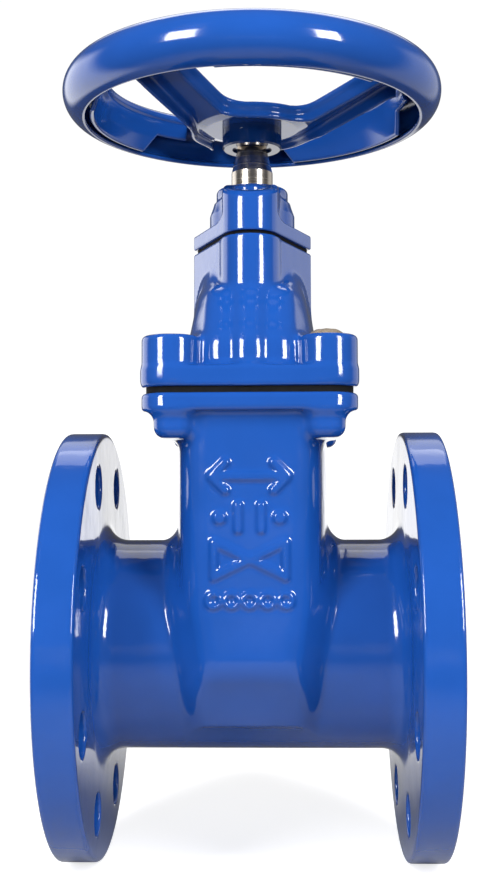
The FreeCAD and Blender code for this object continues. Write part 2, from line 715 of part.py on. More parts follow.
def window_prisms(grow=0.0):
    """The three windows, each a sector of a ring with rounded corners."""
    z0, z1 = 236, 280
    half = SPOKE_HALF - grow
    sectors = tube(WINDOW_IN_R - grow, FOLD_R + grow, z0, z1)
    # turned so that the seam falls in a spoke
    sectors.rotate(ORIGIN, Z_AXIS, WINDOWS[0] + SPOKE_TURN)
    for window in WINDOWS:
        angle = math.radians(window + SPOKE_TURN)
        along = V(math.cos(angle), math.sin(angle), 0)
        across = V(-along.y, along.x, 0)
        spoke = [across * half, along * 120 + across * half,
                 along * 120 - across * half, across * -half]
        sectors = sectors.cut(prism([(p.x, p.y) for p in spoke], z0 - 1, z1 + 1))
    out = []
    for sector in sectors.Solids:
        # if the corner fillet can't be built, the corners stay sharp
        try:
            sector = sector.makeFillet(WINDOW_CORNER_R + grow, upright_edges(sector))
        except Exception:
            pass
        out.append(sector)
    return out


def handwheel():
    holes = window_prisms()
    wheel = wheel_dish().cut(Part.makeCompound(holes))
    # folded edge around each window, hanging below the sheet
    band = turned(HEM_BAND)
    hems = [outer.cut(hole).common(band) for outer, hole in zip(window_prisms(SHEET), holes)]
    wall = turned(RIM_WALL)
    tabs = []
    for window in WINDOWS:
        tab = Part.Face(polygon([V(x, -60, z) for x, z in TAB])).extrude(V(0, -30, 0))
        tab.rotate(ORIGIN, Z_AXIS, window)
        tabs.append(wall.common(tab))
    wheel = wheel.fuse(hems + tabs).removeSplitter()
    square = block(SQUARE_HOLE_HALF, SQUARE_HOLE_HALF, 240, 260)
    plate = cylinder(12.0, PLATE_Z, PLATE_TOP).cut(square)
    return wheel.cut(square).fuse(plate).removeSplitter()


def handwheel_hub():
    hub = cylinder(14.4, HUB_LOW, PLATE_Z)
    hub = hub.makeChamfer(0.8, bottom_edges(hub, HUB_LOW))
    hub = hub.cut(block(SQUARE_HOLE_HALF, SQUARE_HOLE_HALF, 230, 250))
    return hub.cut(cylinder(9.6, 230, HUB_LOW + 1.2)).removeSplitter()


def handwheel_lock_washer():
    """Spring washer, split on the +X side."""
    z = PLATE_TOP + WASHER_T
    washer = tube(WASHER_HOLE_R, 7.2, z, z + LOCK_WASHER_T)
    return washer.cut(Part.makeBox(8, 0.8, 6, V(2, -0.4, z - 1)))


def handwheel_screw():
    seat_z = PLATE_TOP + WASHER_T + LOCK_WASHER_T
    head_top = seat_z + 5.3
    head = prism(hexagon(13, turn=15), seat_z, head_top)
    # cone that bevels the corners of the head
    head = head.common(cone(9.0, 7.0, seat_z - 2.0, head_top + 0.8))
    shank = cylinder(3.3, seat_z - 18, seat_z + 0.1)
    shank = shank.fuse(cylinder(3.99, seat_z - 4.0, seat_z + 0.1))
    return head.fuse(shank).removeSplitter()


def main():
    os.makedirs("parts", exist_ok=True)
    save(valve_body(), "valve_body")
    save(bonnet(), "bonnet")
    save(bonnet_gasket(), "bonnet_gasket")
    save(screws(BONNET_SCREWS), "bonnet_screws")
    save(wax_seals(), "wax_seals")
    save(gland_cover(), "gland_cover")
    save(gland_gasket(), "gland_gasket")
    save(screws(GLAND_SCREWS), "gland_screws")
    save(gland_bush(), "gland_bush")
    outer_space = tube(OUTER_GROOVE_R, BUSH_R, 190, 212)
    save(o_rings(OUTER_RING_Z, 13.0, outer_space), "bush_outer_o_rings")
    inner_space = tube(STEM_R + 0.02, INNER_GROOVE_R, 190, 214)
    save(o_rings(INNER_RING_Z, 11.25, inner_space), "bush_inner_o_rings")
    save(turned(WIPER), "wiper_ring")
    save(turned(BACK_SEAL), "back_seal")
    save(tube(WASHER_BORE, COLLAR_R, 173.1, COLLAR_LOW - 0.1), "thrust_washer_lower")
    upper_washer = tube(WASHER_BORE, COLLAR_R, COLLAR_HIGH + 0.1, COVER_LOW - 0.1)
    save(upper_washer, "thrust_washer_upper")
    save(stem(), "stem")
    save_wedge()
    save(handwheel(), "handwheel")
    save(handwheel_hub(), "handwheel_hub")
    save(tube(WASHER_HOLE_R, 12.0, PLATE_TOP, PLATE_TOP + WASHER_T), "handwheel_washer")
    save(handwheel_lock_washer(), "handwheel_lock_washer")
    save(handwheel_screw(), "handwheel_screw")


main()
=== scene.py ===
"""Gate valve with a flanged body, bonnet, gland cover and handwheel.

The bore runs along X through the origin, the stem along +Z, and the camera looks along +Y.
The castings, the sheet handwheel and the wax seals are modelled in millimetres as signed
distance fields (negative inside), meshed and scaled to metres. The rest keep their CAD meshes.
"""
import json
import math
from functools import reduce

import bpy
import numpy as np
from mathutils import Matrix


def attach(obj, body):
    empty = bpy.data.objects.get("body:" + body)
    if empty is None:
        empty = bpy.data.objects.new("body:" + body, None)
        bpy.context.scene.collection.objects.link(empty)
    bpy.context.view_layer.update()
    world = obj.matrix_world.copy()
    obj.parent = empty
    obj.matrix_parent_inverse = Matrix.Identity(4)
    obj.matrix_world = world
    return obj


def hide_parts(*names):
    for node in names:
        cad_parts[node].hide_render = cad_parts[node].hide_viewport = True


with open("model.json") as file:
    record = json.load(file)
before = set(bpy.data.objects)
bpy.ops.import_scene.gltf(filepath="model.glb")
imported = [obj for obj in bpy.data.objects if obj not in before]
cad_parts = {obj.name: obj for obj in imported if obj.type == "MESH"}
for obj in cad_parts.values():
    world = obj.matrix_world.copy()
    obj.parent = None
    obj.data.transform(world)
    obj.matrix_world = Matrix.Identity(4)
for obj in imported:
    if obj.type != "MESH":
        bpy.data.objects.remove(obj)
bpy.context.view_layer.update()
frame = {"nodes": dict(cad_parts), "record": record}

import openvdb
from mathutils import Matrix, Vector

FLOAT = np.float32
MM = 0.001
COARSENING = 1.0


# ---------------------------------------------------------------- distance fields
class Grid:
    """Regular grid whose x, y and z broadcast against each other."""

    def __init__(self, low, high, step):
        self.step = step
        # a small shift, so that no grid point lies exactly on a round-numbered face
        self.low = np.array(low, float) - step * np.array((0.1313, 0.1717, 0.0909))
        self.count = np.ceil((np.array(high, float) - self.low) / step).astype(int) + 1
        x, y, z = ((self.low[k] + step * np.arange(self.count[k])).astype(FLOAT)
                   for k in range(3))
        self.axes = x[:, None, None], y[None, :, None], z[None, None, :]
        self.plan = x[:, None], y[None, :]
        self.heights = z


def join(*shapes):
    return reduce(np.minimum, shapes)


def meet(*shapes):
    return reduce(np.maximum, shapes)


def cut(shape, tool):
    return np.maximum(shape, -tool)


def join_round(a, b, fillet):
    """Union with a concave fillet."""
    u = np.maximum(fillet - a, 0)
    v = np.maximum(fillet - b, 0)
    return np.maximum(fillet, np.minimum(a, b)) - np.sqrt(u * u + v * v)


def meet_round(a, b, edge):
    """Intersection with a rounded outer edge."""
    u = np.maximum(edge + a, 0)
    v = np.maximum(edge + b, 0)
    return np.minimum(-edge, np.maximum(a, b)) + np.sqrt(u * u + v * v)


def cut_round(shape, tool, edge):
    return meet_round(shape, -tool, edge)


def join_soft(a, b, width):
    """Union of two faces at a shallow angle, softened over a width."""
    near = np.maximum(width - np.abs(a - b), 0) / width
    return np.minimum(a, b) - near * near * width * 0.25


def slab(x, low, high):
    return np.maximum(low - x, x - high)


def circle(x, y, centre_x, centre_y, radius):
    return np.sqrt((x - centre_x) ** 2 + (y - centre_y) ** 2) - radius


def round_rect(x, y, half_x, half_y, corner):
    out_x = np.abs(x) - (half_x - corner)
    out_y = np.abs(y) - (half_y - corner)
    outside = np.sqrt(np.maximum(out_x, 0) ** 2 + np.maximum(out_y, 0) ** 2)
    return outside + np.minimum(np.maximum(out_x, out_y), 0) - corner


def plane(x, y, normal, point):
    """Sloped face through a point."""
    return normal[0] * (x - point[0]) + normal[1] * (y - point[1])


def facet(x, y, normal, corner, inset=0.0):
    """Sloped face across a corner that may change with height."""
    reach = normal[0] * corner[0] + normal[1] * corner[1] - inset
    return normal[0] * x + normal[1] * y - reach


def segment_squared(x, y, start, end):
    edge_x, edge_y = end[0] - start[0], end[1] - start[1]
    from_x, from_y = x - start[0], y - start[1]
    t = (from_x * edge_x + from_y * edge_y) / (edge_x * edge_x + edge_y * edge_y)
    t = np.clip(t, 0, 1)
    return (from_x - edge_x * t) ** 2 + (from_y - edge_y * t) ** 2


def segment(x, y, start, end):
    return np.sqrt(segment_squared(x, y, start, end))


def polygon(x, y, points):
    """Exact signed distance to a closed polygon; x and y broadcast to a plane."""
    x, y = np.broadcast_arrays(x, y)
    squared = np.full(x.shape, 1e9, FLOAT)
    sign = np.ones(x.shape, FLOAT)
    for k, start in enumerate(points):
        end = points[k - 1]
        squared = np.minimum(squared, segment_squared(x, y, start, end))
        above_start, below_end = y >= start[1], y < end[1]
        left = (end[0] - start[0]) * (y - start[1]) > (end[1] - start[1]) * (x - start[0])
        crossed = (above_start & below_end & left) | (~above_start & ~below_end & ~left)
        sign = np.where(crossed, -sign, sign)
    return (sign * np.sqrt(squared)).astype(FLOAT)


def smooth(t):
    t = np.clip(t, 0, 1)
    return t * t * (3 - 2 * t)


def column(values):
    """Values that change with height only."""
    return values.astype(FLOAT)[None, None, :]


def layer(values):
    """Values that change in plan only."""
    return values.astype(FLOAT)[:, :, None]


# ---------------------------------------------------------------- meshing
def lerp(a, b, t):
    return a + (b - a) * t


def sample(field, grid, points):
    """Trilinear value of a field at points."""
    cells = (points - grid.low) / grid.step
    whole = np.clip(np.floor(cells).astype(int), 0, grid.count - 2)
    part_x, part_y, part_z = (cells - whole).astype(FLOAT).T
    i, j, k = whole.T

    def along_x(b, c):
        return lerp(field[i, j + b, k + c], field[i + 1, j + b, k + c], part_x)

    def along_y(c):
        return lerp(along_x(0, c), along_x(1, c), part_y)

    return lerp(along_y(0), along_y(1), part_z)


def gradient(field, grid, points, reach=0.6):
    """Slope of a field by central differences; reach is in grid steps."""
    slope = np.zeros_like(points)
    for k in range(3):
        shift = np.zeros(3)
        shift[k] = reach * grid.step
        rise = sample(field, grid, points + shift) - sample(field, grid, points - shift)
        slope[:, k] = rise / (2 * reach * grid.step)
    return slope


def mesh_field(name, field, grid):
    """Meshes a field and pulls the points onto its zero surface."""
    field = field.astype(FLOAT)
    step = grid.step
    volume = openvdb.FloatGrid(float(3 * step))
    volume.copyFromArray(np.clip(field, -3 * step, 3 * step).astype(FLOAT))
    # surface at value 0, with no merging of flat areas
    points, triangles, quads = volume.convertToPolygons(0.0, 0.0)
    points = points.astype(float) * step + grid.low
    for _ in range(3):
        value = sample(field, grid, points)
        slope = gradient(field, grid, points)
        squared = np.maximum((slope * slope).sum(1), 0.05)
        move = (value / squared)[:, None] * slope
        points -= np.clip(move, -0.5 * step, 0.5 * step)
    faces = [tuple(int(i) for i in face[::-1]) for part in (quads, triangles) for face in part]
    mesh = bpy.data.meshes.new(name)
    mesh.from_pydata((points * MM).tolist(), [], faces)
    mesh.update()
    # faces must look outwards, the way the field rises
    first = mesh.polygons[0]
    centre = np.array([points[i] for i in first.vertices]).mean(0)
    outward = gradient(field, grid, centre[None, :])[0]
    if float(np.dot(np.array(first.normal), outward)) < 0:
        mesh.flip_normals()
    mesh.polygons.foreach_set("use_smooth", [True] * len(mesh.polygons))
    return link_object(name, mesh)


def link_object(name, data):
    ob = bpy.data.objects.new(name, data)
    bpy.context.scene.collection.objects.link(ob)
    return ob


# ---------------------------------------------------------------- shared sizes, mm
FLANGE_X, FLANGE_Y, FLANGE_R = 47.5, 68.0, 13.0   # joint flange: half sizes, corner radius
SCREW_X, SCREW_Y = 34.0, 54.0                     # joint screws from the stem axis
NOSE_R, GLAND_Y, SIDE_X = 13.0, 35.0, 28.5        # neck: end radius and place, half width
BODY_TOP, BONNET_BASE, BONNET_TOP, COVER_BASE = 114.3, 116.9, 187.0, 189.0


def joint_flange(x, y, z, low, high, edge):
    outline = round_rect(x, y, FLANGE_X, FLANGE_Y, FLANGE_R)
    return meet_round(outline, slab(z, low, high), edge)


def neck_plan(grid):
    """Lozenge with round ends that the bonnet's neck and the gland cover share."""
    corner = 1.0                                  # drawn smaller by this, then grown back
    radius = NOSE_R - corner
    side_x = SIDE_X - corner * 1.12
    tangent = math.acos(radius / math.hypot(side_x, GLAND_Y))
    start = math.atan2(-GLAND_Y, side_x) + tangent
    end = math.pi - start
    points = []
    for side, turn in ((1, 0.0), (-1, math.pi)):
        for k in range(17):
            angle = turn + start + (end - start) * k / 16
            points.append((radius * math.cos(angle),
                           side * GLAND_Y + radius * math.sin(angle)))
        points.append((-side * side_x, 0.0))
    return polygon(*grid.plan, points)[:, :, None] - corner


# ---------------------------------------------------------------- body
# strokes of the marks right of the middle: start (x, z), end (x, z), half width
STROKES = (
    ((16.5, 78), (10.5, 84), 2.0),
    ((16.5, 78), (10.5, 72), 2.0),
    ((5, 65.5), (5, 55), 2.0),
    ((0, 42.0), (15.5, 49.5), 1.8),
    ((0, 42.0), (15.5, 34.5), 1.8),
    ((15.5, 49.5), (15.5, 34.5), 1.8),
)


def relief(x, z):
    """Raised marks, from the top: double arrow, bars between dots, bow tie, row of rings."""
    marks = [segment(x, z, (-15, 78), (15, 78)) - 2.0]
    for side in (-1, 1):
        for start, end, half in STROKES:
            start, end = (side * start[0], start[1]), (side * end[0], end[1])
            marks.append(segment(x, z, start, end) - half)
        marks.append(circle(x, z, side * 13, 60.2, 3.0))
    for k in range(5):
        marks.append(np.abs(circle(x, z, -15.6 + 7.8 * k, 24.5, 2.9)) - 1.1)
    return join(*marks)


def wedge_chamber(x, y, z):
    """Upright chamber that narrows towards its foot, marked on its front and back panels."""
    half_x, half_y = 36.0, 62.0
    slope, ease_low, ease_high = 0.177, 12, 24
    taper = slope * np.maximum((ease_low + ease_high) / 2 - z, 0)
    eased = slope * (ease_high - z) ** 2 / (2 * (ease_high - ease_low))
    taper = np.where(z < ease_high, np.where(z > ease_low, eased, taper), 0).astype(FLOAT)
    out_x, out_y = np.abs(x) + taper, np.abs(y)
    cheek = plane(out_x, out_y, (0.9852, 0.1714), (half_x, 20.0))
    side = meet_round(out_x - half_x, cheek, edge=6.0)
    underside = plane(out_y, z, (0.6909, -0.7230), (half_y, -7.0))
    front = meet_round(out_y - half_y, underside, edge=5.0)
    mark_height, mark_blur = 1.6, 0.9
    lift = mark_height * (1 - smooth((relief(x, z) + mark_blur) / (2 * mark_blur)))
    front = front - np.where(z > 10, lift, 0)
    bevel = 0.7071 * (out_x + out_y) - 59.75
    bevel = np.maximum(bevel, 0.9 * bevel + 0.4 * front)
    chamber = meet_round(meet_round(side, bevel, edge=4.0), front, edge=4.0)
    return meet(chamber, z - 110.0, -29.0 - z)


def body_field(step):
    grid = Grid((-93, -103, -103), (93, 103, 117), step)
    x, y, z = grid.axes
    out_x, out_y = np.abs(x), np.abs(y)
    from_bore = np.sqrt(y * y + z * z)
    bore_radius = 40.0
    # pipe with a flange and a raised face at each end
    pipe = np.maximum(from_bore - 49.0, out_x - 86)
    disc = meet_round(from_bore - 100.0, slab(out_x, 70.0, 87.6), edge=1.6)
    shape = join_round(pipe, disc, fillet=10.0)
    shape = join(shape, meet_round(from_bore - 66.0, slab(out_x, 78.0, 90.0), edge=0.6))
    shape = join_round(shape, wedge_chamber(x, y, z), fillet=11.0)
    # joint flange and its screw pads
    plate = joint_flange(x, y, z, 106.5, BODY_TOP, edge=1.8)
    shape = join_round(shape, plate, fillet=3.0)
    pad = round_rect(out_x - 32.9, out_y - 48.7, half_x=8.9, half_y=17.0, corner=7.0)
    pad = meet_round(pad, slab(z, 94.6, 110.0), edge=5.0)
    shape = join_round(shape, pad, fillet=5.0)
    # bore, wedge seat and chamber pocket with its two guide ribs
    shape = cut_round(shape, from_bore - bore_radius, edge=1.0)
    shape = cut(shape, np.maximum(from_bore - 40.4, out_x - 19.0))
    half = 20.0 + 0.0524 * np.clip(z, -12, 60)
    pocket = meet(out_x - half, out_y - 54.0,
                  facet(out_x, out_y, (0.85, 0.5), (half, 49.5)),
                  -12.0 - z, plane(z, out_y, (-0.86, 0.5), (2, 54.0)))
    shape = cut(shape, pocket)
    rib = meet(out_x - 5.0, slab(out_y, 47.0, 58.0), slab(z, -6, 113.3), 40.7 - from_bore)
    shape = meet(join(shape, rib), z - BODY_TOP)
    # bolt holes in the end flanges, screw holes in the joint flange
    bolts, bolt_ring, bolt_hole = 8, 80, 9.5
    angles = [math.radians(360 / bolts * (k + 0.5)) for k in range(bolts)]
    holes = join(*[circle(y, z, bolt_ring * math.cos(a), bolt_ring * math.sin(a), bolt_hole)
                   for a in angles])
    shape = cut_round(shape, np.maximum(holes, 55.0 - out_x), edge=0.8)
    screw = circle(out_x, out_y, SCREW_X, SCREW_Y, 5.05)
    return cut(shape, np.maximum(screw, 96.0 - z)), grid


# ---------------------------------------------------------------- bonnet
# bell: height, then x, y of three corners of a quarter of its plan: front, bevel, side
BELL = np.array((
    (117.0, 17.6, 61.8, 25.6, 50.2, 32.5, 16.0),
    (139.0, 17.5, 61.5, 25.5, 50.0, 32.3, 16.0),
    (147.0, 17.5, 56.3, 25.2, 45.0, 30.8, 14.0),
    (156.0, 17.3, 50.5, 24.8, 39.0, 29.0, 12.0),
    (162.5, 17.0, 45.5, 24.3, 33.5, 27.8, 10.5),
    (168.8, 16.5, 35.0, 23.5, 24.5, 26.5, 9.0),
    (177.5, 14.8, 26.0, 21.3, 16.5, 23.6, 6.0),
    (186.0, 9.0, 16.0, 15.5, 8.0, 18.0, 3.0),
))
# inside of the bonnet: heights, half widths along x and along y
POCKET_Z = [114, 126, 136, 160]
POCKET_X = [26, 24.5, 21, 19.5]
POCKET_Y = [50, 46, 28, 24]


def curve(knots, values, at):
    """Smooth cubic through points, level at the ends of a level span."""
    slopes = np.diff(values) / np.diff(knots)
    tangents = np.concatenate([[slopes[0]], 0.5 * (slopes[1:] + slopes[:-1]), [slopes[-1]]])
    for k, slope in enumerate(slopes):
        if slope == 0:
            tangents[k] = tangents[k + 1] = 0
    i = np.clip(np.searchsorted(knots, at) - 1, 0, len(slopes) - 1)
    width = knots[i + 1] - knots[i]
    t = np.clip((at - knots[i]) / width, 0, 1)
    return ((2 * t ** 3 - 3 * t ** 2 + 1) * values[i]
            + (t ** 3 - 2 * t ** 2 + t) * width * tangents[i]
            + (3 * t ** 2 - 2 * t ** 3) * values[i + 1]
            + (t ** 3 - t ** 2) * width * tangents[i + 1])


def bonnet_bell(grid):
    """Bell that slopes in from an upright skirt, with a ridge down its front and back."""
    x, y, z = grid.axes
    out_x, out_y = np.abs(x), np.abs(y)
    heights = grid.heights.astype(float)
    front_x, front_y, bevel_x, bevel_y, side_x, side_y = (
        column(curve(BELL[:, 0], BELL[:, k], heights)) for k in range(1, 7))

    def rate(values):
        return np.gradient(values[0, 0], grid.step)

    def wall(normal_x, normal_y, on_x, on_y):
        """Sloped face: its plan normal and a point on it, both changing with height."""
        length = np.sqrt(normal_x * normal_x + normal_y * normal_y)
        normal_x, normal_y = normal_x / length, normal_y / length
        reach = normal_x * on_x + normal_y * on_y
        tilt = rate(normal_x) * on_x[0, 0] + rate(normal_y) * on_y[0, 0] - rate(reach)
        flat = normal_x * out_x + normal_y * out_y - reach
        return flat / np.sqrt(1 + tilt * tilt)[None, None, :]

    zero, one = np.zeros_like(front_x), np.ones_like(front_x)
    bell = meet_round(wall(zero, one, front_x, front_y),
                      wall(front_y - bevel_y, bevel_x - front_x, bevel_x, bevel_y), edge=5.0)
    bell = meet_round(bell, wall(bevel_y - side_y, side_x - bevel_x, bevel_x, bevel_y), edge=6.0)
    bell = meet_round(bell, wall(one, zero, side_x, side_y), edge=6.0)
    bell = meet(bell, 117.5 - z, z - 185.0)
    ridge_radius, ridge_stand = 10.3, 3.0
    ridge_y = np.maximum(front_y + ridge_stand - ridge_radius, 12)
    lean = np.sqrt(1 + (0.9 * rate(front_y)) ** 2)
    ridge = circle(x, out_y, 0, ridge_y, ridge_radius) / lean[None, None, :]
    return join_soft(bell, np.maximum(ridge, slab(z, 117.5, 172.0)), width=1.3)


def bonnet_field(step):
    grid = Grid((-50, -71, 115.4), (50, 71, 189), step)
    x, y, z = grid.axes
    out_x, out_y = np.abs(x), np.abs(y)
    # flange with a boss at each corner
    flange = joint_flange(x, y, z, BONNET_BASE, 126.0, edge=1.6)
    boss = circle(out_x, out_y, FLANGE_X - FLANGE_R, FLANGE_Y - FLANGE_R, FLANGE_R)
    boss = meet_round(boss, slab(z, 118.0, 139.8), edge=2.2)
    shape = join_round(flange, boss, fillet=2.0)
    shape = join_round(shape, bonnet_bell(grid), fillet=4.5)
    # noses in front and behind, and the neck
    nose = np.maximum(circle(x, out_y, 0, GLAND_Y, NOSE_R), slab(z, 140.0, BONNET_TOP))
    shape = join_round(shape, nose, fillet=3.0)
    neck = meet_round(neck_plan(grid), slab(z, 145.0, BONNET_TOP), edge=0.9)
    shape = join_round(shape, neck, fillet=1.6)
    shape = meet(shape, BONNET_BASE - z)
    # pocket inside
    half_x = column(np.interp(grid.heights, POCKET_Z, POCKET_X))
    half_y = column(np.interp(grid.heights, POCKET_Z, POCKET_Y))
    pocket = meet(out_x - half_x, out_y - half_y,
                  facet(out_x, out_y, (0.9, 0.44), (half_x, half_y), inset=2.5), z - 160.0)
    shape = cut(shape, pocket)
    # stem passage with a groove, open at the top
    from_stem = np.sqrt(x * x + y * y)
    shape = cut(shape, np.maximum(from_stem - 10.3, 150 - z))
    shape = cut(shape, np.maximum(from_stem - 14.05, slab(z, 164, 175)))
    shape = cut(shape, np.maximum(from_stem - 20.0, 173 - z))
    # joint screw holes with their sinks, then the holes in the noses
    sink = np.maximum(circle(out_x, out_y, SCREW_X, SCREW_Y, 8.6), 125.5 - z)
    shape = cut(shape, circle(out_x, out_y, SCREW_X, SCREW_Y, 5.6))
    shape = cut_round(shape, sink, edge=0.8)
    hole = np.maximum(circle(x, out_y, 0, GLAND_Y, 4.05), 166 - z)
    return cut(shape, hole), grid


# ---------------------------------------------------------------- gland cover
def cover_field(step):
    grid = Grid((-32, -51, 187.4), (32, 51, 220), step)
    x, y, z = grid.axes
    out_y = np.abs(y)
    from_stem = np.sqrt(x * x + y * y)
    plan = neck_plan(grid)
    plate = meet_round(plan, slab(z, COVER_BASE, 195.8), edge=0.9)
    # round boss with a smaller disc on top
    boss_radius = 20.5
    wide = meet_round(from_stem - boss_radius, z - 211.0, edge=2.5)
    wide = np.maximum(wide, facet(from_stem, z, (0.94, 0.34), (boss_radius, 205.0)))
    top = meet_round(from_stem - 17.3, z - 218.0, edge=2.0)
    boss = np.maximum(join_round(wide, top, fillet=2.0), 189.5 - z)
    shape = join_round(plate, boss, fillet=2.5)
    # long nose across it over the two screws, its top sloping up to the disc
    nose = np.sqrt(x * x + np.maximum(out_y - GLAND_Y, 0) ** 2) - NOSE_R
    crown = plane(z, out_y, (0.93, 0.37), (206.0, GLAND_Y + NOSE_R))
    nose = meet_round(nose, np.maximum(crown, z - 214.5), edge=2.4)
    shape = join_round(shape, np.maximum(nose, 189.3 - z), fillet=3.2)
    shape = meet(shape, plan, COVER_BASE - z)
    # stem hole, wider at the foot, and screw holes with their sinks
    shape = cut(shape, from_stem - 14.0)
    shape = cut(shape, np.maximum(from_stem - 17.3, z - 191.2))
    shape = cut(shape, circle(x, out_y, 0, GLAND_Y, 4.5))
    sink = np.maximum(circle(x, out_y, 0, GLAND_Y, 7.1), 196.5 - z)
    return cut_round(shape, sink, edge=0.7), grid


# ---------------------------------------------------------------- wax seals
def wax_plugs():
    """Centre x, y, radius, bottom, top and dome height of each plug."""
    for side_x in (-1, 1):
        for side_y in (-1, 1):
            # the front right one is fuller
            top, dome = (139.6, 3.1) if (side_x, side_y) == (1, -1) else (139.2, 0.9)
            yield side_x * SCREW_X, side_y * SCREW_Y, 8.5, 135.6, top, dome
    for side_y in (-1, 1):
        yield 0, side_y * GLAND_Y, 7.0, 204.6, 205.8, 0.9


def wax_field(step):
    """Low uneven domes over the sunk screws."""
    grid = Grid((-45, -65, 133), (45, 65, 209), step)
    x, y, z = grid.axes
    ripple = 0.18 * np.sin(0.9 * x + 0.4 * y) * np.cos(0.7 * y - 0.5 * x)
    plugs = []
    for centre_x, centre_y, radius, bottom, top, dome in wax_plugs():
        disc = circle(x, y, centre_x, centre_y, radius)
        crown = top + dome * (1 - np.clip((disc + radius) / radius, 0, 1) ** 4)
        crown = crown + ripple
        plugs.append(meet_round(disc, np.maximum(z - crown, bottom - z), edge=0.5))
    return join(*plugs), grid


# ---------------------------------------------------------------- handwheel
SHEET = 2.2
WINDOW_ANGLES = (17.0, 137.0, -103.0)             # degrees from -Y towards +X
RIM_R, RIM_Z, RIM_SECTION = 79.1, 263.8, 12.5     # ring radius, height, section radius
TABLE_STEP = 0.25
# middle line of the dish from the hub out: radius, height
DISH = [(6, 249.1), (22, 249.1), (27, 250.1), (34, 253.3), (44, 258.5), (54, 263.8), (62, 268.2)]


def wheel_line():
    """Middle line of the sheet: the dish, then the rim rolled outwards and down."""
    section = RIM_SECTION - SHEET / 2
    start, end = math.radians(128), math.radians(-76)
    angles = [start + (end - start) * k / 40 for k in range(41)]
    return DISH + [(RIM_R + section * math.cos(a), RIM_Z + section * math.sin(a))
                   for a in angles]


def wheel_windows(x, y, radius):
    """Plan of the windows between the spokes, and the angle from the nearest one's middle."""
    angle = np.degrees(np.arctan2(x, -y))
    windows = []
    off_middle = np.full(radius.shape, 60.0, FLOAT)
    for middle in WINDOW_ANGLES:
        off = (angle - middle + 180) % 360 - 180
        turn = np.radians(off)
        across, along = radius * np.sin(turn), radius * np.cos(turn)
        spoke = 13.0 - 0.866 * along + 0.5 * np.abs(across)
        spoke = np.where(np.abs(off) > 90, 60.0, spoke)
        windows.append(meet_round(slab(radius, 30.0, 71.5), spoke, edge=7.0))
        off_middle = np.where(np.abs(off) < 60, np.abs(off), off_middle)
    return layer(join(*windows)), off_middle


def wheel_field(step):
    grid = Grid((-95, -95, 237), (95, 95, 281), step)
    x, y, z = grid.axes
    plan_x, plan_y = grid.plan
    radius = np.sqrt(plan_x * plan_x + plan_y * plan_y)
    # sections are tables over (radius, height), looked up by radius
    table_radii = np.arange(0, 140, TABLE_STEP).astype(FLOAT)
    table_r, table_z = np.meshgrid(table_radii, grid.heights, indexing="ij")
    place = radius / TABLE_STEP
    row = np.clip(np.floor(place).astype(int), 0, len(table_radii) - 2)
    part = layer(place - row)

    def spin(table):
        table = table.astype(FLOAT)
        return table[row] * (1 - part) + table[row + 1] * part

    line = wheel_line()
    sheet = join(*[segment(table_r, table_z, p, q) for p, q in zip(line[:-1], line[1:])])
    sheet -= SHEET / 2
    window, off_middle = wheel_windows(plan_x, plan_y, radius)
    shape = cut_round(spin(sheet), window, edge=0.6)
    # folded edges that hang from the windows' outline along the spokes and the hub plate
    dish_z = layer(np.interp(radius, [p[0] for p in line[:8]], [p[1] for p in line[:8]]))
    depth = layer(np.interp(radius, [28, 34, 60, 70], [5.2, 7.2, 8.6, 8.6]))
    hem = np.abs(window - SHEET / 2) - SHEET / 2
    hem = meet_round(hem, slab(z, dish_z - depth, dish_z + 0.4), edge=0.9)
    hem = np.maximum(hem, (radius - 70.0)[:, :, None])
    shape = join_round(shape, hem, fillet=2.4)
    # inner wall of the rim at each window: deep in the middle, ramped up to shallow
    low = layer(np.interp(off_middle, [0, 27.5, 33.0, 60], [252.6, 252.6, 262.2, 262.2]))
    wall = spin(segment(table_r, table_z, (72.1, 272.4), (78.1, 251.5)) - SHEET / 2)
    wall = meet_round(wall, low - z, edge=0.9)
    wall = meet(wall, z - 272.8, ((off_middle - 47.0) * 1.2)[:, :, None])
    shape = join_round(shape, wall, fillet=1.6)
    # square hole for the stem end
    shape = cut(shape, np.maximum(np.abs(x), np.abs(y)) - 7.1)
    return meet(shape, 238.0 - z), grid


# ---------------------------------------------------------------- shader helpers
MID_NOISE = (0.3, 0.7)                            # the part of a noise's range that is used


def feed(tree, node, inputs):
    """Links or sets each input."""
    for key, value in inputs.items():
        if isinstance(value, bpy.types.NodeSocket):
            tree.links.new(value, node.inputs[key])
        else:
            node.inputs[key].default_value = value


def add_node(tree, kind, inputs=None, **settings):
    node = tree.nodes.new(kind)
    for key, value in settings.items():
        setattr(node, key, value)
    feed(tree, node, inputs or {})
    return node


def new_material(name):
    material = bpy.data.materials.new(name)
    material.use_nodes = True
    tree = material.node_tree
    return material, tree, tree.nodes["Principled BSDF"]


def coords(tree, scale=(1, 1, 1)):
    place = add_node(tree, "ShaderNodeTexCoord").outputs["Object"]
    mapping = add_node(tree, "ShaderNodeMapping", {"Scale": scale, "Vector": place})
    return mapping.outputs["Vector"]


def noise(tree, place, scale, detail=2.0, rough=0.5):
    return add_node(tree, "ShaderNodeTexNoise", {
        "Scale": scale, "Detail": detail, "Roughness": rough, "Vector": place}).outputs["Fac"]


def tones(tree, value, dark, light):
    node = add_node(tree, "ShaderNodeValToRGB", {"Fac": value})
    for stop, place, colour in zip(node.color_ramp.elements, MID_NOISE, (dark, light)):
        stop.position = place
        stop.color = (*colour, 1)
    return node.outputs["Color"]


def remap(tree, value, source, target, curve="LINEAR"):
    return add_node(tree, "ShaderNodeMapRange", {
        "From Min": source[0], "From Max": source[1], "To Min": target[0],
        "To Max": target[1], "Value": value}, interpolation_type=curve).outputs["Result"]


def fade(tree, value, source, target):
    return remap(tree, value, source, target, "SMOOTHSTEP")


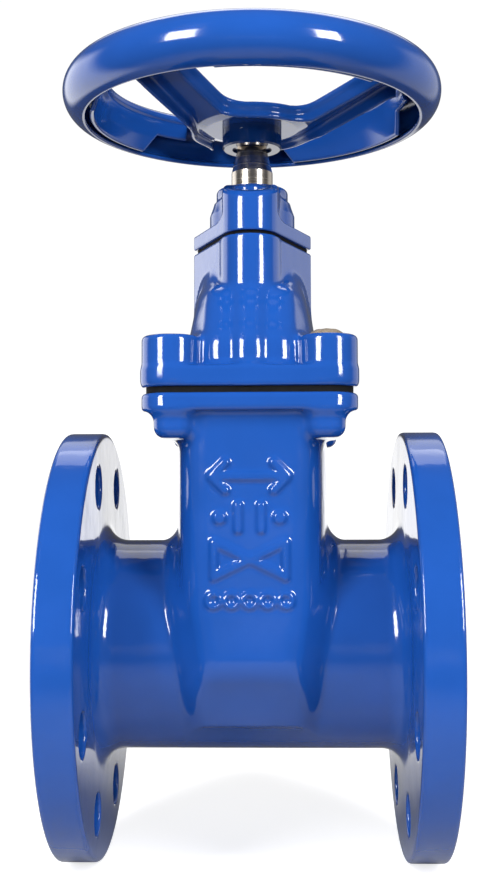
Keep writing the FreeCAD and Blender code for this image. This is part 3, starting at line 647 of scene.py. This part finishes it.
def maths(tree, operation, *values):
    node = add_node(tree, "ShaderNodeMath", dict(enumerate(values)), operation=operation)
    return node.outputs[0]


def bump(tree, height, distance, strength=1.0, **normal):
    return add_node(tree, "ShaderNodeBump", {
        "Strength": strength, "Distance": distance, "Height": height, **normal}).outputs["Normal"]


# ---------------------------------------------------------------- materials
def blue_paint(name, wave, peel, painted_shade=1.0):
    """Thick glossy paint: slow waves of height wave, fine orange peel, a few dull specks. A shade
    factor below one darkens the colour to paint in shade.
    """
    material, tree, shader = new_material(name)
    place = coords(tree)
    # painted shade: both paint tones are scaled by the shade factor
    dark, light = (tuple(painted_shade * c for c in tone)
                   for tone in ((0.0072, 0.0580, 0.276), (0.0088, 0.0656, 0.313)))
    colour = tones(tree, noise(tree, place, 28.0, detail=3.0, rough=0.55), dark, light)
    spots = add_node(tree, "ShaderNodeTexVoronoi", {"Scale": 85.0, "Vector": place})
    speck = remap(tree, spots.outputs["Distance"], (0.03, 0.055), (1.0, 0.0))
    gate = remap(tree, noise(tree, place, 17.0, detail=1.0), (0.62, 0.66), (0.0, 1.0))
    mix = add_node(tree, "ShaderNodeMixRGB", {
        "Color2": (0.10, 0.12, 0.20, 1), "Fac": maths(tree, "MULTIPLY", speck, gate),
        "Color1": colour})
    rough = remap(tree, noise(tree, place, 60.0), MID_NOISE, (0.08, 0.16))
    waves = bump(tree, noise(tree, place, 55.0), wave)
    skin = bump(tree, noise(tree, place, 420.0, detail=1.5), peel, Normal=waves)
    feed(tree, shader, {
        "Base Color": mix.outputs["Color"], "Roughness": rough, "IOR": 1.5,
        "Coat Weight": 0.6, "Coat Roughness": 0.03, "Coat IOR": 1.5,
        "Normal": skin, "Coat Normal": skin})
    return material


def steel(name, tint, rough, stretch):
    """Bare metal; a large z stretch gives turning rings about the stem."""
    material, tree, shader = new_material(name)
    grain = noise(tree, coords(tree, stretch), 1.0, detail=3.0, rough=0.6)
    feed(tree, shader, {
        "Base Color": tones(tree, grain, tuple(0.78 * c for c in tint), tint),
        "Metallic": 1.0, "Roughness": remap(tree, grain, MID_NOISE, rough),
        "Normal": bump(tree, grain, 0.00003, strength=0.6)})
    return material


def plain(name, dark, light, rough, scale=400.0, height=0.00004, metallic=0.0, shine=0.5):
    material, tree, shader = new_material(name)
    grain = noise(tree, coords(tree), scale, detail=4.0, rough=0.6)
    feed(tree, shader, {
        "Base Color": tones(tree, grain, dark, light),
        "Roughness": remap(tree, grain, MID_NOISE, rough), "Metallic": metallic,
        "Specular IOR Level": shine, "Normal": bump(tree, grain, height)})
    return material


# by material slot; the hub has its own, the blue paint darkened to 0.3 as painted shade under the
# wheel
MATERIALS = {
    "blue_epoxy_casting": blue_paint("blue_epoxy_cast", wave=0.00022, peel=0.000010),
    "blue_enamel_steel": blue_paint("blue_enamel_sheet", wave=0.00005, peel=0.000006),
    "hub": blue_paint("blue_enamel_hub_painted_shade", wave=0.00005, peel=0.000006, painted_shade=0.3),
    "stainless_stem": steel("stainless_turned", tint=(0.66, 0.60, 0.53), rough=(0.16, 0.30),
                            stretch=(6, 6, 900)),
    "zinc_steel": steel("zinc_plate", tint=(0.70, 0.71, 0.73), rough=(0.25, 0.42),
                        stretch=(200, 200, 200)),
    "black_rubber": plain("black_rubber", dark=(0.004, 0.004, 0.0045),
                          light=(0.009, 0.009, 0.0095), rough=(0.65, 0.85), shine=0.12),
    "brass": plain("machined_brass", dark=(0.55, 0.36, 0.12), light=(0.72, 0.50, 0.20),
                   rough=(0.22, 0.38), scale=300.0, height=0.00002, metallic=1.0),
    "ductile_iron": plain("ductile_iron", dark=(0.05, 0.05, 0.055), light=(0.11, 0.11, 0.115),
                          rough=(0.5, 0.7), scale=160.0, height=0.0002, metallic=0.6),
    "white_plastic": plain("white_plastic", dark=(0.62, 0.61, 0.57), light=(0.74, 0.73, 0.69),
                           rough=(0.35, 0.5)),
    "sealing_wax": plain("sealing_wax", dark=(0.15, 0.12, 0.085), light=(0.25, 0.20, 0.145),
                         rough=(0.35, 0.55), scale=220.0, height=0.00015),
}

# ---------------------------------------------------------------- pieces
# replaced node, its field, grid step in mm, what it rides on, material slot
PIECES = (
    ("valve_body", body_field, 0.9, "casing", "blue_epoxy_casting"),
    ("bonnet", bonnet_field, 0.7, "casing", "blue_epoxy_casting"),
    ("gland_cover", cover_field, 0.5, "casing", "blue_epoxy_casting"),
    ("handwheel", wheel_field, 0.55, "stem_and_wheel", "blue_enamel_steel"),
    ("wax_seals", wax_field, 0.6, "casing", "sealing_wax"),
)


def build_pieces():
    for name, make_field, step, carrier, slot in PIECES:
        ob = mesh_field(name + "_coated", *make_field(step * COARSENING))
        ob.data.materials.append(MATERIALS[slot])
        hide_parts(name)
        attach(ob, carrier)


def dress_cad_nodes():
    slots = {part["node"]: part["material_slot"] for part in frame["record"]["subparts"]}
    for name, ob in frame["nodes"].items():
        ob.data.materials.clear()
        # the hub gets the darkened copy of the paint: painted shade under the wheel
        ob.data.materials.append(MATERIALS["hub" if name == "handwheel_hub" else slots[name]])
        for face in ob.data.polygons:
            face.use_smooth = True
        if "Smooth by Angle" not in ob.modifiers:
            ob.data.set_sharp_from_angle(angle=math.radians(32))


# ---------------------------------------------------------------- floor, world, lights, camera
def make_floor():
    """A pale round floor that fades into the white around it."""
    sides, radius, z = 96, 1.3, -0.1005
    angles = [2 * math.pi * k / sides for k in range(sides)]
    mesh = bpy.data.meshes.new("floor")
    mesh.from_pydata([(radius * math.cos(a), radius * math.sin(a), z) for a in angles],
                     [], [tuple(range(sides))])
    ob = link_object("floor", mesh)
    material, tree, shader = new_material("pale_floor")
    place = coords(tree)
    pale = tones(tree, noise(tree, place, 3.0), (0.60, 0.60, 0.605), (0.62, 0.62, 0.625))
    seen = add_node(tree, "ShaderNodeLightPath").outputs["Is Camera Ray"]
    mix = add_node(tree, "ShaderNodeMixRGB", {
        "Color1": (0.45, 0.45, 0.455, 1), "Fac": seen, "Color2": pale})
    away = add_node(tree, "ShaderNodeVectorMath", {0: place}, operation="LENGTH")
    feed(tree, shader, {
        "Base Color": mix.outputs["Color"], "Roughness": 0.9, "Specular IOR Level": 0.1,
        # lit a little from within for the eye, so that the contact shadows stay soft
        "Emission Color": (1, 1, 1, 1), "Emission Strength": maths(tree, "MULTIPLY", seen, 0.74),
        "Alpha": fade(tree, away.outputs["Value"], (0.16, 0.50), (1.0, 0.0))})
    mesh.materials.append(material)


def make_world():
    """White for the eye; reflections see white cards behind the valve and dark elsewhere."""
    world = bpy.data.worlds.new("studio")
    bpy.context.scene.world = world
    world.use_nodes = True
    tree = world.node_tree
    direction = add_node(tree, "ShaderNodeTexCoord").outputs["Generated"]
    split = add_node(tree, "ShaderNodeSeparateXYZ", {"Vector": direction})
    x, y, z = (split.outputs[k] for k in "XYZ")
    across = maths(tree, "ABSOLUTE", x)
    rear = fade(tree, y, (0.05, 0.35), (0.0, 1.0))
    # card straight behind and low
    card = maths(tree, "MULTIPLY", fade(tree, across, (0.17, 0.24), (1.0, 0.0)),
                 fade(tree, z, (0.05, 0.11), (1.15, 0.0)))
    # screens at both rear corners, the left one brighter
    screen = maths(tree, "MULTIPLY", fade(tree, across, (0.48, 0.60), (0.0, 1.0)),
                   fade(tree, z, (0.35, 0.55), (1.0, 0.0)))
    screen = maths(tree, "MULTIPLY", screen, fade(tree, x, (-0.4, 0.4), (1.65, 0.60)))
    # soft box above and behind
    above = maths(tree, "MULTIPLY", fade(tree, z, (0.52, 0.58), (0.0, 1.0)),
                  fade(tree, z, (0.76, 0.84), (0.9, 0.0)))
    above = maths(tree, "MULTIPLY", above, fade(tree, across, (0.30, 0.42), (1.0, 0.0)))
    cards = maths(tree, "ADD", maths(tree, "ADD", card, screen), above)
    ambient, backdrop = 0.11, 1.03
    level = maths(tree, "ADD", maths(tree, "MULTIPLY", rear, cards), ambient)
    seen = add_node(tree, "ShaderNodeLightPath").outputs["Is Camera Ray"]
    level = maths(tree, "MAXIMUM", level, maths(tree, "MULTIPLY", seen, backdrop))
    feed(tree, tree.nodes["Background"], {"Strength": level, "Color": (1, 1, 1, 1)})


def soft_box(name, place, target, width, height, radiance, mirrored=True):
    light = bpy.data.lights.new(name, "AREA")
    light.shape = "RECTANGLE"
    light.size, light.size_y = width, height
    light.energy = radiance * math.pi * width * height
    ob = link_object(name, light)
    ob.location = place
    aim = Vector(target) - Vector(place)
    ob.rotation_euler = aim.to_track_quat("-Z", "Y").to_euler()
    ob.visible_glossy = mirrored


def make_lights():
    away = 1.5
    # tall boxes in front, azimuth in degrees from -Y towards +X; the upper ones only fill
    for kind, low, high, mirrored in (("strip", 0.26, 1.02, True), ("fill", 1.02, 1.90, False)):
        for side, azimuth, width, radiance in (("left", -38, 0.46, 18.0),
                                               ("right", 44, 0.38, 19.5)):
            angle = math.radians(azimuth)
            z = 0.5 * (low + high)
            soft_box(f"{kind}_{side}", (away * math.sin(angle), -away * math.cos(angle), z),
                     (0, 0, z), width, high - low, radiance, mirrored)
    soft_box("fill_low", (0, -1.3, -0.02), target=(0, 0, -0.05), width=0.9, height=0.14,
             radiance=16.0, mirrored=False)
    soft_box("top", (0, 0.75, 1.35), target=(0, 0, 0), width=0.9, height=0.45, radiance=1.3)


def make_camera():
    place = (0.015284, -0.605571, 0.0657)
    yaw, pitch, roll = (math.radians(a) for a in (1.581, 2.901, -0.18))
    data = bpy.data.cameras.new("camera")
    camera = link_object("camera", data)
    data.sensor_width = 36.0
    data.lens = 51.377755
    data.clip_start = 0.01
    forward = Vector((-math.sin(yaw) * math.cos(pitch), math.cos(yaw) * math.cos(pitch),
                      math.sin(pitch)))
    right = forward.cross(Vector((0, 0, 1))).normalized()
    up = right.cross(forward)
    right, up = (math.cos(roll) * right + math.sin(roll) * up,
                 math.cos(roll) * up - math.sin(roll) * right)
    turn = Matrix((right, up, -forward)).transposed().to_4x4()
    camera.matrix_world = Matrix.Translation(place) @ turn
    bpy.context.scene.camera = camera


build_pieces()
dress_cad_nodes()
make_floor()
make_world()
make_lights()
make_camera()
view = bpy.context.scene.view_settings
view.view_transform = "Standard"
view.look = "None"
